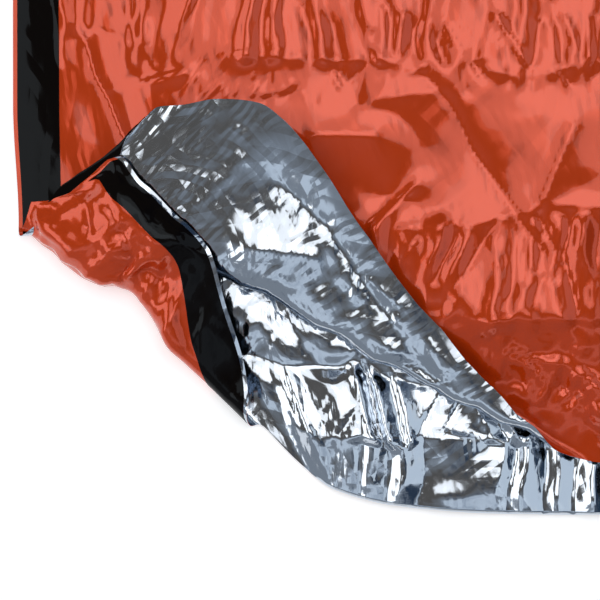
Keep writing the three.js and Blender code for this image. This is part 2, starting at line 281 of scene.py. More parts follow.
# Packing folds of the far film, mm: the first, the room left at the foot and at each side, their spacing,
# points on each and how far these stray, and the lowest and highest heights and flanks
PACKING_FIRST = 440.0
PACKING_FOOT = 100.0
PACKING_SIDE = 40.0
PACKING_SPACING = 112.0
PACKING_POINTS = 10
PACKING_STRAY = 9
PACKING_HEIGHTS = (1.5, 7.0)
PACKING_FLANKS = ((22, 28), (40, 60))

# Sway of the fold and of the cuff's rim, mm: how far, size of its facets and reach; and how much the
# facets are drawn out along the bag
FOLD_SWAY = 4.0
FOLD_SWAY_SIZE = 20.0
FOLD_SWAY_AHEAD = 12.0
FOLD_SWAY_REACH = 30.0
RIM_SWAY = 2.5
RIM_SWAY_SIZE = 24.0
RIM_SWAY_REACH = 25.0
SWAY_DRAW = 0.3

# Bands over which the top panel's reliefs ease in: start and reach, mm, and the share before the band where
# that isn't 0; a negative reach runs backwards
FOLD_SWAY_BAND = (110, 40)
RIM_SWAY_BAND = (30, 30)
FAR_BAND = (350, 90)
RIGHT_BAND = (430, 90)
HUNG_BAND = (312, 10)
HUNG_TALL_BAND = (300, 20, 0.35)
GATHERED_FRONT_BAND = (120, 30)
GATHERED_BACK_BAND = (216, -16)
SHOULDER_BAND = (150, -20)
MAIN_BAND = (0, 25)
CUFF_BAND = (8, 25)
CUFF_RIM_BAND = (26, 12)
CUFF_LEFT_BAND = (110, 50)

# The same for the bottom panel, and how far ahead of the fold its inside relief starts, less by the flap
INSIDE_END_BAND = (230, 60)
BELOW_BAND = (62, -9)
BELOW_RIGHT_BAND = (235, 60, 0.35)
ABOVE_BAND = (50, 9)
ABOVE_END_BAND = (112, -20)
CRINKLED_BAND = (80, 40, 0.45)
NEAR_FLAP_BAND = (185, 50)
CLEAR_LEFT_BAND = (100, 50)
CLEAR_RIGHT_BAND = (520, -90)
MOUTH_BAND = (0, 14, 0.75)
UNTAPED_BAND = (33, 10, 0.3)
FLAP_BAND = (14, 22)
CLEAR_AHEAD = 20
CLEAR_FLAP = 30

# Reach of the fades at the side and foot seals, mm, the shares of the relief at these and at the cuff's
# rim, and lifts of the cuff and the silver inside, mm
EDGE_SIDE = 60.0
EDGE_FOOT = 80.0
EDGE_LEAST = 0.12
CUFF_LEAST = 0.07
CUFF_LIFT = 1.0
INSIDE_LIFT = 3.0
INSIDE_LOWEST = -0.4

# The line that parts the pleats of the silver inside: how far it strays and over what length, mm
LINE_STRAY = 6.0
LINE_STRAY_SIZE = 50.0

# Mesh lines, mm: where the close ones end across and back from the rim, and the steps of each stretch
CLOSE_ACROSS = 430.0
TOP_ACROSS_STEPS = (1.5, 2.5, 2.65, 13.0)
TOP_ROW_ENDS = (150.0, 340.0, 520.0)
TOP_ROW_STEPS = (2.5, 2.6, 9.0, 19.0)
BOTTOM_ACROSS_STEPS = (1.5, 2.1, 18.0, 3.0)
BOTTOM_ROW_ENDS = (150.0, 320.0)
BOTTOM_ROW_STEPS = (1.5, 2.3, 1.9, 2.7, 40.0)

# Gap between a tape and its film, and how closely a mesh line is told from its neighbours, mm
TAPE_GAP = 0.05
SAME_LINE = 0.01

# Studio lights. Columns: name, place, aim and size in m, places being from the middle of the view, colour,
# and the value that holds the power
WHITE = (1.0, 1.0, 1.0)
LIGHTS = (
    ("top_light", (0.09, 0.96, 2.3), (0.09, 0.96, 0.0), (1.86, 2.07), WHITE, "key_power"),
    ("middle_light", (0.22, 0.7, 2.28), (0.22, 0.7, 0.0), (0.85, 1.0), WHITE, "middle_power"),
    ("left_light", (-1.56, 0.2, 1.25), (0.0, 0.2, 0.0), (2.5, 0.95), WHITE, "left_power"),
    ("right_light", (1.46, 0.15, 1.36), (0.0, 0.15, 0.0), (2.3, 1.05), (0.85, 0.93, 1.0), "right_power"),
    ("front_light", (0.1, -1.15, 1.8), (0.1, 0.0, 0.0), (2.2, 0.5), (0.82, 0.91, 1.0), "front_power"),
)

# How much the room's dark patches gather to the right, half the floor's width, m, and the height that the
# view's width is measured at, m
PATCH_TILT = 0.3
FLOOR_REACH = 30.0
VIEW_LEVEL = 0.02


def ease(x):
    """Smooth step: 3t2 - 2t3, with t held between 0 and 1."""
    t = np.clip(x, 0.0, 1.0)
    return t * t * (3.0 - 2.0 * t)


def at_least(lowest, share):
    """A share that starts from a lowest value: lowest + (1 - lowest) * share."""
    return lowest + (1.0 - lowest) * share


def passed(x, start, reach, least=0.0):
    """Share of a band that is passed: a smooth step of (x - start) / reach, starting from the least."""
    return at_least(least, ease((x - start) / reach))


def along_table(rows, name, across):
    """One column of a table at any place across: a cubic through its rows, whose slope at a row is the
    harmonic mean of the slopes beside it."""
    places, values = rows[:, 0], rows[:, SECTION_COLUMNS.index(name)]
    rise = np.diff(values) / np.diff(places)
    product = rise[:-1] * rise[1:]
    slopes = np.zeros_like(values)
    np.divide(2.0 * product, rise[:-1] + rise[1:], out=slopes[1:-1], where=product > 0)
    i = np.clip(np.searchsorted(places, across) - 1, 0, len(places) - 2)
    span = places[i + 1] - places[i]
    t = (across - places[i]) / span
    pull = (slopes[i] * (1.0 - t) - slopes[i + 1] * t) * span
    return values[i] + (values[i + 1] - values[i]) * ease(t) + pull * t * (1.0 - t)


def tape_lift(from_rim):
    """Extra height near the mouth, where tape lies under the bottom panel."""
    return TAPE_LIFT * (1.0 - ease((from_rim - TAPE_LIFT_END) / TAPE_LIFT_FADE))


def top_lie(across, from_rim, behind, sizes):
    """Height of the lying top panel: its layer, plus a loft, lower at the mouth, that fades at the seals."""
    width, length, loft = sizes.bag_width / MM, sizes.bag_length / MM, sizes.loft / MM
    side = ease((np.minimum(across, width - across) - SEAL) / SIDE_SLOPE)
    foot = ease((length - SEAL - from_rim) / FOOT_SLOPE)
    rise = MOUTH_RISE + (loft - MOUTH_RISE) * ease(behind / np.interp(across, *MOUTH_SLOPE))
    return TOP_HEIGHT + tape_lift(from_rim) + side * foot * rise


def bottom_lie(across, from_rim, behind, sizes):
    """Height of the lying bottom panel: on the ground, lifted a little over the mouth tape. It takes the
    values that top_lie takes and needs only the places."""
    return BOTTOM_HEIGHT + tape_lift(from_rim) + 0.0 * across


def bottom_roll(across):
    """Share of the seam's bulge in the bottom film: greatest at the seam, and fading like a bell curve."""
    return np.exp(-(across / SEAM_FADE) ** 2)


def top_roll(across):
    """Share of the seam's bulge in the top film: from inside the seam it rolls out past it and back."""
    out = (1.0 + SEAM_INSIDE) * ease(across / SEAM_ROLL) - SEAM_INSIDE
    return out * (1.0 - ease((across - SEAM_ROLL) / (2.0 * SEAM_FADE)))


def fold_panel(sections, lie, seam, roll, across, from_rim, sizes):
    """Panel points from flat places, and how far each is behind the fold. Behind the fold the film lies. In
    front of it the film rolls half a turn about the fold's axis, by angle = distance / radius, and then runs
    on to the rim, with its arch, a parabola, and the seam's bulge added."""
    column = {name: along_table(sections, name, across)[:, None] for name in SECTION_COLUMNS}
    across = across[:, None]
    length = sizes.bag_length / MM
    fold_u = across + column["drift"]
    behind = from_rim - column["past"]
    held = np.maximum(behind, 0.0)
    lying_u = across + column["drift"] * (1.0 - ease(held / FOLD_DRIFT))
    lying_v = column["fold_v"] + held * (length - column["fold_v"]) / (length - column["past"])
    lying_z = lie(across, from_rim, held, sizes)
    tilt = np.radians(column["tilt"])
    ahead = np.maximum(-behind, 0.0)
    beyond, along = ahead * np.cos(tilt), ahead * np.sin(tilt)
    half_turn = np.pi * column["radius"]
    angle = np.minimum(beyond / column["radius"], np.pi)
    out = column["radius"] * np.sin(angle) - np.maximum(beyond - half_turn, 0.0)
    fold_z = lie(across, column["past"], 0.0 * across, sizes)
    top_length = column["past"] * np.cos(tilt) - half_turn
    share = np.clip((beyond - half_turn) / np.maximum(top_length, 1.0), 0.0, 1.0)
    share = np.where(top_length > 1.0, share, 0.0)
    rolled_z = fold_z + column["radius"] * (1.0 - np.cos(angle))
    rolled_z = rolled_z + (column["rim_height"] - fold_z - 2.0 * column["radius"]) * share
    rolled_z = rolled_z + column["arch"] * 4.0 * share * (1.0 - share)
    rolled_u = fold_u - out * np.sin(tilt) + along * np.cos(tilt)
    rolled_v = column["fold_v"] - out * np.cos(tilt) - along * np.sin(tilt)
    bulge = np.interp(ahead, SEAM_PLACES, seam) * roll(across)
    rolled_u = rolled_u + SEAM_OUT[0] * bulge
    rolled_v = rolled_v + SEAM_OUT[1] * bulge
    lying = behind >= 0.0
    points = np.stack([
        np.where(lying, lying_u, rolled_u),
        np.where(lying, lying_v, rolled_v),
        np.where(lying, lying_z, rolled_z),
    ], axis=-1)
    return points, behind


def wander(x, y, size, seed):
    """Smooth unevenness, mostly from -1 to 1: a third of the sum of six sine waves of near that size, at
    random angles."""
    rng = np.random.default_rng(seed)
    total = 0.0
    for angle, phase, stretch in rng.uniform((0, 0, 0.7), (np.pi, 2 * np.pi, 1.5), (6, 3)):
        wave = 2.0 * np.pi / (size * stretch)
        total = total + np.sin(wave * (x * np.cos(angle) + y * np.sin(angle)) + phase)
    return total / 3.0


def facets(x, y, size, seed):
    """Flat facets: random heights from -1 to 1 at the corners of a lattice of triangles, in planes."""
    heights = np.random.default_rng(seed).uniform(-1.0, 1.0, (LATTICE, LATTICE))
    j = y / (size * TRIANGLE)
    i = x / size - 0.5 * j
    i0, j0 = np.floor(i).astype(int), np.floor(j).astype(int)
    a, b = i - i0, j - j0

    def corner(di, dj):
        return heights[(i0 + di) % LATTICE, (j0 + dj) % LATTICE]

    near, far, right, up = corner(0, 0), corner(1, 1), corner(1, 0), corner(0, 1)
    lower = near + a * (right - near) + b * (up - near)
    upper = far + (1.0 - a) * (up - far) + (1.0 - b) * (right - far)
    return np.where(a + b < 1.0, lower, upper)


def fold_lines(x, y, spacing, slope, count, seed):
    """Film folded along sets of straight lines and pulled nearly flat again: a sum of triangle waves at
    random angles, each as steep as the slope says, bent a little, and fading in and out over the film."""
    rng = np.random.default_rng(seed)
    total = 0.0
    for k, (angle, phase, stretch) in enumerate(rng.uniform((0, 0, 0.5), (np.pi, 1, 1.8), (count, 3))):
        wave = spacing * stretch
        s = (x * np.cos(angle) + y * np.sin(angle)) / wave + phase
        s = s + 0.12 * wander(x, y, 2.0 * wave, seed + k + 1)
        shown = np.clip(0.45 + 0.8 * wander(x, y, 2.5 * wave, seed + k + 101), 0.0, 1.0)
        total = total + shown * slope * wave * np.abs(2.0 * (s - np.floor(s)) - 1.0) / 2.0
    return total - np.mean(total)


def crumple(x, y, folds, layers, seed):
    """Crumple of the film in mm: fold lines, and facets of falling size on bent lattices."""
    total = sum(fold_lines(x, y, *row, seed + 1000 * k) for k, row in enumerate(folds))
    for k, (size, height) in enumerate(layers):
        shift = 0.45 * size
        bent_x = x + shift * wander(x, y, 3.0 * size, seed + 10 * k + 1)
        bent_y = y + shift * wander(x, y, 3.0 * size, seed + 10 * k + 2)
        lively = 0.65 + 0.5 * wander(x, y, LIVELY_PATCH, seed + 10 * k + 3)
        total = total + height * np.clip(lively, 0.15, 1.2) * facets(bent_x, bent_y, size, seed + 10 * k)
    return total


def creases(rows, u, v):
    """Height of straight creases: each is its height times exp(-distance / flank), fading past its ends,
    and where several meet the tallest shows."""
    ridges, troughs = np.zeros_like(u), np.zeros_like(u)
    for start_u, start_v, end_u, end_v, height, left, right in rows:
        along_u, along_v = end_u - start_u, end_v - start_v
        length = np.hypot(along_u, along_v)
        s = ((u - start_u) * along_u + (v - start_v) * along_v) / length
        side = ((v - start_v) * along_u - (u - start_u) * along_v) / length
        past_end = np.maximum(np.maximum(-s, s - length), 0.0)
        distance = np.hypot(side, past_end)
        flank = right + (left - right) * (0.5 + 0.5 * side / np.maximum(distance, 1e-6))
        near = distance < 6.0 * max(left, right)
        rise = height * np.exp(-distance[near] / flank[near])
        ridges[near] = np.maximum(ridges[near], rise)
        troughs[near] = np.minimum(troughs[near], rise)
    return ridges + troughs


def pleats(x, y, spacing, height, seed):
    """Pleats along the film: straight-sided waves across it, each with its own height and lean, that
    wander from side to side and fade in and out along their length."""
    rng = np.random.default_rng(seed)
    tall = rng.uniform(0.3, 1.0, PLEAT_COUNT)
    lean = rng.uniform(0.25, 0.75, PLEAT_COUNT)
    s = x / spacing + 0.6 * wander(x, 0.3 * y, 4.0 * spacing, seed + 1)
    s = s + 0.1 * wander(x, y, 2.0 * spacing, seed + 2)
    number = np.floor(s).astype(int) % PLEAT_COUNT
    share = s - np.floor(s)
    shape = np.minimum(share / lean[number], (1.0 - share) / (1.0 - lean[number]))
    shown = np.clip(0.7 + 0.7 * wander(2.0 * x, 0.6 * y, 5.0 * spacing, seed + 3), 0.0, 1.2)
    return height * tall[number] * shown * shape


def wrinkle_rows(groups, seed):
    """Crease rows for groups of small wrinkles, placed, turned and sized at random on each line."""
    rng = np.random.default_rng(seed)
    rows = []
    for start_u, start_v, end_u, end_v, angle, spread, reach, count, height, width in groups:
        share = (np.arange(count) + rng.uniform(0.1, 0.9, count)) / count
        turn = np.radians(angle + rng.uniform(-spread, spread, count))
        long = reach * rng.uniform(0.35, 1.0, count)
        from_u = start_u + share * (end_u - start_u) + rng.uniform(-WRINKLE_STRAY, WRINKLE_STRAY, count)
        from_v = start_v + share * (end_v - start_v) + rng.uniform(-WRINKLE_STRAY, WRINKLE_STRAY, count)
        tall = height * rng.uniform(0.5, 1.2, count) * rng.choice([-1.0, 1.0], count)
        flanks = width * rng.uniform(0.7, 2.2, (2, count))
        ends = (from_u + long * np.cos(turn), from_v + long * np.sin(turn))
        rows.append(np.stack([from_u, from_v, *ends, tall, *flanks], axis=1))
    return np.concatenate(rows)


def packing_rows(width, length, seed):
    """Crease rows for the crosswise folds that the bag was packed with: uneven lines from side to side, in
    short lengths that each have their own height."""
    rng = np.random.default_rng(seed)
    ends = np.linspace(PACKING_SIDE, width - PACKING_SIDE, PACKING_POINTS)
    rows = []
    for line in np.arange(PACKING_FIRST, length - PACKING_FOOT, PACKING_SPACING):
        places = line + rng.uniform(-PACKING_STRAY, PACKING_STRAY, len(ends))
        tall = rng.uniform(*PACKING_HEIGHTS, len(ends) - 1)
        flanks = rng.uniform(*PACKING_FLANKS, (len(ends) - 1, 2))
        rows.append(np.stack([ends[:-1], places[:-1], ends[1:], places[1:], tall, *flanks.T], axis=1))
    return np.concatenate(rows)


def top_surface(sizes, relief):
    """Top panel's mesh lines and the points of its middle surface: the lying film and the turned-back cuff
    of fold_panel, each raised by the sum of its own crumple, pleats and creases."""
    seed = relief.seed
    across, from_rim = top_lines(sizes)
    flat_x, flat_y = np.broadcast_arrays(across[:, None], from_rim[None, :])
    curl = RIM_CURL * (1.0 - ease((flat_x - RIM_CURL_END) / RIM_CURL_FADE))
    curl = curl * ease((flat_x - RIM_CURL_START) / RIM_CURL_FADE)
    curled = curl + np.abs(flat_y - curl)
    points, behind = fold_panel(TOP_SECTIONS, top_lie, TOP_SEAM, top_roll, across, curled, sizes)
    points[..., 2] += RIM_CURL_LIFT * np.clip((curl - flat_y) / RIM_CURL, 0.0, 1.0)
    drawn = SWAY_DRAW * flat_y
    sway = FOLD_SWAY * facets(flat_x, drawn, FOLD_SWAY_SIZE, seed + 11)
    sway = sway * np.exp(-((behind + FOLD_SWAY_AHEAD) / FOLD_SWAY_REACH) ** 2)
    rim = RIM_SWAY * facets(flat_x, drawn, RIM_SWAY_SIZE, seed + 13)
    rim = rim * np.exp(-(flat_y / RIM_SWAY_REACH) ** 2)
    points[..., 1] += sway * passed(flat_x, *FOLD_SWAY_BAND) + rim * passed(flat_x, *RIM_SWAY_BAND)
    u, v = points[..., 0], points[..., 1]
    width, length = sizes.bag_width / MM, sizes.bag_length / MM
    main_rows = np.concatenate([TOP_CREASES, wrinkle_rows(TOP_WRINKLES, seed + 1),
                                packing_rows(width, length, seed + 12)])
    cuff_rows = np.concatenate([CUFF_CREASES, wrinkle_rows(CUFF_WRINKLES, seed + 2)])
    far = np.maximum(passed(v, *FAR_BAND), passed(u, *RIGHT_BAND))
    rough = crumple(flat_x, flat_y, TOP_FOLDS, TOP_FACETS, seed)
    rough = rough + far * crumple(flat_x, flat_y, FAR_FOLDS, FAR_FACETS, seed + 70)
    hung = pleats(flat_x, flat_y, *HUNG_PLEATS, seed + 5)
    hung = hung * passed(v, *HUNG_TALL_BAND)
    gathered = pleats(flat_x, flat_y, *GATHERED_PLEATS, seed + 6)
    gathered = gathered * passed(v, *GATHERED_BACK_BAND) * passed(v, *GATHERED_FRONT_BAND)
    shoulder = crumple(flat_x, flat_y, FLAP_FOLDS, CUFF_FACETS, seed + 60)
    shoulder = passed(v, *SHOULDER_BAND) * shoulder
    main = rough * relief.top_depth + shoulder + creases(TOP_BROAD, u, v) + creases(main_rows, u, v)
    main = main + (1.0 - far) * hung * passed(v, *HUNG_BAND) + gathered
    edge = ease(np.minimum(flat_x, width - flat_x) / EDGE_SIDE) * ease((length - flat_y) / EDGE_FOOT)
    main = passed(behind, *MAIN_BAND) * at_least(EDGE_LEAST, edge) * main
    rougher = crumple(flat_x, flat_y, CUFF_FOLDS, CUFF_FACETS, seed + 50)
    inner = passed(flat_y, *CUFF_RIM_BAND) * passed(flat_x, *CUFF_LEFT_BAND)
    cuff = at_least(CUFF_LEAST, inner) * rougher * relief.cuff_depth + creases(cuff_rows, u, v) + CUFF_LIFT
    cuff = passed(-behind, *CUFF_BAND) * cuff
    points[..., 2] += np.where(behind > 0.0, main, cuff)
    return across, from_rim, points


def draw_tape_together(points, behind, flat_x, flat_y, sizes, seed):
    """Moves the points of the turned-over corner: the tape's inner edge goes towards the rim and up, easing
    in from the rim and out past the tape, and the rim waves up and down in straight facets."""
    turned = behind < 0.0
    tape_edge = (sizes.tape_inset + sizes.tape_width) / MM
    gather = TAPE_GATHER * ease(flat_y / tape_edge) * (1.0 - ease((flat_y - tape_edge) / GATHER_FADE))
    gather = gather * ease(flat_x / GATHER_START) * (1.0 - ease((flat_x - GATHER_END) / GATHER_END_FADE))
    gather = np.where(turned, gather, 0.0)
    wave = RIM_WAVE * facets(flat_x, 0.0 * flat_y, RIM_WAVE_LENGTH, seed + 14)
    wave = wave * np.clip(1.0 - flat_y / RIM_WAVE_REACH, 0.0, 1.0)
    wave = wave * (1.0 - ease((flat_x - RIM_WAVE_END) / RIM_WAVE_FADE))
    points[..., :2] += gather[..., None] * GATHER_OUT
    points[..., 2] += np.where(turned, GATHER_RISE * gather + wave, 0.0)


def bottom_surface(sizes, relief):
    """Bottom panel's mesh lines and the points of its middle surface: lying film, whose relief hardly goes
    down, and the corner folded over it, whose relief runs along its normals."""
    seed = relief.seed
    across, from_rim = bottom_lines(sizes)
    flat_x, flat_y = np.broadcast_arrays(across[:, None], from_rim[None, :])
    points, behind = fold_panel(BOTTOM_SECTIONS, bottom_lie, BOTTOM_SEAM, bottom_roll, across, flat_y, sizes)
    draw_tape_together(points, behind, flat_x, flat_y, sizes, seed)
    u, v = points[..., 0], points[..., 1]
    inside_rows = np.concatenate([BOTTOM_CREASES, wrinkle_rows(BOTTOM_WRINKLES, seed + 3)])
    flap_rows = np.concatenate([FLAP_CREASES, wrinkle_rows(FLAP_WRINKLES, seed + 4)])
    line = v + LINE_STRAY * wander(flat_x, flat_y, LINE_STRAY_SIZE, seed + 9)
    below = passed(line, *BELOW_BAND) * passed(flat_x, *BELOW_RIGHT_BAND)
    above = passed(line, *ABOVE_BAND) * passed(line, *ABOVE_END_BAND)
    hung = below * pleats(flat_x, flat_y, *BELOW_PLEATS, seed + 7)
    hung = hung + above * pleats(flat_x + ABOVE_LEAN * flat_y, flat_y, *ABOVE_PLEATS, seed + 8)
    rough = crumple(flat_x, flat_y, CUFF_FOLDS, CUFF_FACETS, seed + 100)
    crinkled = passed(v, *CRINKLED_BAND) * rough * relief.bottom_depth
    shown = 1.0 - passed(v, *INSIDE_END_BAND)
    inside = shown * (INSIDE_LIFT + crinkled + hung + creases(inside_rows, u, v))
    near_flap = CLEAR_FLAP * (1.0 - passed(flat_x, *NEAR_FLAP_BAND))
    clear = ease((behind + CLEAR_AHEAD - near_flap) / (CLEAR_AHEAD + near_flap))
    clear = clear * passed(flat_x, *CLEAR_LEFT_BAND) * passed(flat_x, *CLEAR_RIGHT_BAND)
    inside = clear * np.maximum(inside, INSIDE_LOWEST) * passed(flat_y, *MOUTH_BAND)
    puffed = crumple(flat_x, flat_y, FLAP_FOLDS, FLAP_FACETS, seed + 150)
    free = passed(flat_y, *UNTAPED_BAND)
    flap = free * passed(-behind, *FLAP_BAND) * (puffed * relief.flap_depth + creases(flap_rows, u, v))
    points = points - grid_normals(points) * np.where(behind > 0.0, 0.0, flap)[..., None]
    points[..., 2] += np.where(behind > 0.0, inside, 0.0)
    return across, from_rim, points


def spread_lines(ends, steps):
    """Places of mesh lines from 0 on: stretches up to each end, each divided evenly in about its step."""
    lines = [np.zeros(1)]
    for end, step in zip(ends, steps):
        start = lines[-1][-1]
        count = max(1, int(round((end - start) / step)))
        lines.append(start + (end - start) * np.arange(1, count + 1) / count)
    return np.concatenate(lines)


def top_lines(sizes):
    """Mesh lines of the top panel: close together round the mouth's left corner and wide elsewhere."""
    inset, tape = sizes.tape_inset / MM, sizes.tape_width / MM
    across = spread_lines((inset, inset + tape, CLOSE_ACROSS, sizes.bag_width / MM), TOP_ACROSS_STEPS)
    from_rim = spread_lines((*TOP_ROW_ENDS, sizes.bag_length / MM), TOP_ROW_STEPS)
    return across, from_rim


def bottom_lines(sizes):
    """Mesh lines of the bottom panel: close together round the folded corner and the open mouth."""
    width, inset, tape = sizes.bag_width / MM, sizes.tape_inset / MM, sizes.tape_width / MM
    across = spread_lines((inset, CLOSE_ACROSS, width - inset, width), BOTTOM_ACROSS_STEPS)
    row_ends = (inset, inset + tape, *BOTTOM_ROW_ENDS, sizes.bag_length / MM)
    from_rim = spread_lines(row_ends, BOTTOM_ROW_STEPS)
    return across, from_rim


def grid_normals(points):
    """Unit normals of a grid of points: the cross product of its two directions of travel."""
    normals = np.cross(np.gradient(points, axis=0), np.gradient(points, axis=1))
    size = np.linalg.norm(normals, axis=-1, keepdims=True)
    return np.where(size > 1e-9, normals / np.maximum(size, 1e-9), (0.0, 0.0, 1.0))


def shell_mesh(name, points, normals, low, high, flat, materials, inner_slot, sizes):
    """A closed sheet between two offsets along a grid's normals, with a UV map of flat places in metres.
    The upper face takes the first material, and the lower face and the rim take the one at inner_slot.
    Each point keeps the grid's normal, so that the thin rim shades as its face does."""
    rows, columns = points.shape[:2]
    layer = rows * columns
    shift = np.array((sizes.bag_width / MM / 2.0, sizes.bag_length / MM / 2.0, 0.0))
    places = np.concatenate([points + normals * high, points + normals * low]).reshape(-1, 3) - shift
    index = np.arange(layer).reshape(rows, columns)
    a, b, c, d = index[:-1, :-1], index[1:, :-1], index[1:, 1:], index[:-1, 1:]
    upper = np.stack([a, b, c, d], axis=-1).reshape(-1, 4)
    lower = upper[:, [0, 3, 2, 1]] + layer
    loop = np.concatenate([index[:-1, 0], index[-1, :-1], index[:0:-1, -1], index[0, :0:-1]])
    after = np.roll(loop, -1)
    wall = np.stack([after, loop, loop + layer, after + layer], axis=-1)
    faces = np.concatenate([upper, lower, wall]).astype(np.int32)
    mesh = bpy.data.meshes.new(name)
    mesh.vertices.add(len(places))
    mesh.vertices.foreach_set("co", (places * MM).astype(np.float32).ravel())
    mesh.loops.add(faces.size)
    mesh.loops.foreach_set("vertex_index", faces.ravel())
    mesh.polygons.add(len(faces))
    mesh.polygons.foreach_set("loop_start", np.arange(0, faces.size, 4, dtype=np.int32))
    slots = np.repeat((0, inner_slot, inner_slot), (len(upper), len(lower), len(wall)))
    mesh.polygons.foreach_set("material_index", slots.astype(np.int32))
    mesh.update(calc_edges=True)
    mesh.polygons.foreach_set("use_smooth", np.ones(len(faces), dtype=bool))
    uv = np.concatenate([flat, flat]).reshape(-1, 2)[faces.ravel()] * MM
    mesh.uv_layers.new(name="flat").data.foreach_set("uv", uv.astype(np.float32).ravel())
    mesh.validate()
    mesh.normals_split_custom_set_from_vertices(np.concatenate([normals, -normals]).reshape(-1, 3).tolist())
    for material in materials:
        mesh.materials.append(material)
    piece = bpy.data.objects.new(name, mesh)
    bpy.context.scene.collection.objects.link(piece)
    return piece


def flat_places(across, from_rim):
    """Flat places of a grid, across and back from the rim."""
    return np.stack(np.meshgrid(across, from_rim, indexing="ij"), axis=-1)


def linear(code):
    """Linear colour of an sRGB hex code."""
    part = np.array([int(code[i:i + 2], 16) for i in (1, 3, 5)]) / 255.0
    return tuple(np.where(part <= 0.04045, part / 12.92, ((part + 0.055) / 1.055) ** 2.4))


def add_node(tree, kind, inputs=None, **settings):
    """Adds a node, sets its properties, and fills its inputs with values or with another node's output."""
    node = tree.nodes.new(kind)
    for name, value in settings.items():
        setattr(node, name, value)
    for name, value in (inputs or {}).items():
        if isinstance(value, bpy.types.NodeSocket):
            tree.links.new(value, node.inputs[name])
        else:
            node.inputs[name].default_value = value
    return node


def new_material(name, crinkles):
    """A material with its shader, the flat places of its film, and its crinkles as bump."""
    material = bpy.data.materials.new(name)
    material.use_nodes = True
    tree = material.node_tree
    shader = tree.nodes["Principled BSDF"]
    places = add_node(tree, "ShaderNodeUVMap", uv_map="flat").outputs["UV"]
    bump = crinkle_bump(tree, places, crinkles)
    tree.links.new(bump.outputs["Normal"], shader.inputs["Normal"])
    return material, tree, shader, places


def crinkle_bump(tree, places, waves):
    """Bump of film folded along straight lines and pulled out again: a sum of triangle waves, each with its
    direction, spacing and slope, that fade in and out over the film. At a scale of 1 the texture's waves are
    pi / 10 long."""
    height = None
    for angle, gap, slope in waves:
        spacing = gap * MM
        turned = add_node(tree, "ShaderNodeMapping", {
            "Vector": places,
            "Location": (angle * spacing, 0.0, 0.0),
            "Rotation": (0.0, 0.0, np.radians(angle)),
        }).outputs[0]
        wave = add_node(tree, "ShaderNodeTexWave", {
            "Vector": turned,
            "Scale": 0.1 * np.pi / spacing,
            "Distortion": 3.0,
            "Detail": 1.0,
        }, wave_profile="TRI").outputs["Fac"]
        patch = add_node(tree, "ShaderNodeTexNoise", {
            "Vector": turned,
            "Scale": 1.0 / (CRINKLE_PATCH * spacing),
            "Detail": 0.0,
        }).outputs["Fac"]
        shown = add_node(tree, "ShaderNodeMapRange", {
            "Value": patch,
            "From Min": 0.4,
            "From Max": 0.6,
            "To Max": slope * spacing / 2.0,
        }).outputs[0]
        part = add_node(tree, "ShaderNodeMath", {0: wave, 1: shown}, operation="MULTIPLY").outputs[0]
        if height:
            part = add_node(tree, "ShaderNodeMath", {0: height, 1: part}, operation="ADD").outputs[0]
        height = part
    return add_node(tree, "ShaderNodeBump", {"Height": height, "Distance": 1.0, "Strength": 1.0})


def film_material(finish):
    """Blown polyethylene film, dyed orange and aluminised behind: the metal tints its reflection, and the
    smooth face adds a clear, sharp gloss. Finely crinkled, with patches of deeper colour."""
    material, tree, shader, places = new_material("orange_polyethylene_film", FILM_CRINKLES)
    patch = add_node(tree, "ShaderNodeTexNoise", {
        "Vector": places,
        "Scale": 1.0 / (FILM_PATCH * MM),
        "Detail": 3.0,
    })
    tint = add_node(tree, "ShaderNodeMix", {
        0: patch.outputs["Fac"],
        6: (*finish.film_deep, 1.0),
        7: (*finish.film_colour, 1.0),
    }, data_type="RGBA")
    tree.links.new(tint.outputs[2], shader.inputs["Base Color"])
    shader.inputs["Metallic"].default_value = 0.24
    shader.inputs["Roughness"].default_value = 0.15
    shader.inputs["IOR"].default_value = 1.35
    shader.inputs["Coat Weight"].default_value = 0.55
    shader.inputs["Coat Roughness"].default_value = 0.06
    return material


def silver_material(finish):
    """Film with a vapour-deposited coat of aluminium: a mirror, finely crinkled."""
    material, _, shader, _ = new_material("aluminised_film", SILVER_CRINKLES)
    shader.inputs["Base Color"].default_value = (*finish.silver_colour, 1.0)
    shader.inputs["Metallic"].default_value = 1.0
    shader.inputs["Roughness"].default_value = 0.11
    return material


def tape_material(finish):
    """Black polyester tape: smooth and glossy, with the film's creases showing through."""
    material, _, shader, _ = new_material("black_polyester_tape", TAPE_CRINKLES)
    shader.inputs["Base Color"].default_value = (*finish.tape_colour, 1.0)
    shader.inputs["Roughness"].default_value = 0.09
    shader.inputs["Specular IOR Level"].default_value = 0.13
    shader.inputs["Specular Tint"].default_value = (0.8, 0.92, 1.0, 1.0)
    return material


def floor_material():
    """Matt white studio floor."""
    material = bpy.data.materials.new("matt_white_floor")
    material.use_nodes = True
    shader = material.node_tree.nodes["Principled BSDF"]
    shader.inputs["Base Color"].default_value = (0.9, 0.9, 0.9, 1.0)
    shader.inputs["Roughness"].default_value = 0.9
    shader.inputs["Emission Color"].default_value = (1.0, 1.0, 1.0, 1.0)
    shader.inputs["Emission Strength"].default_value = 0.45
    return material


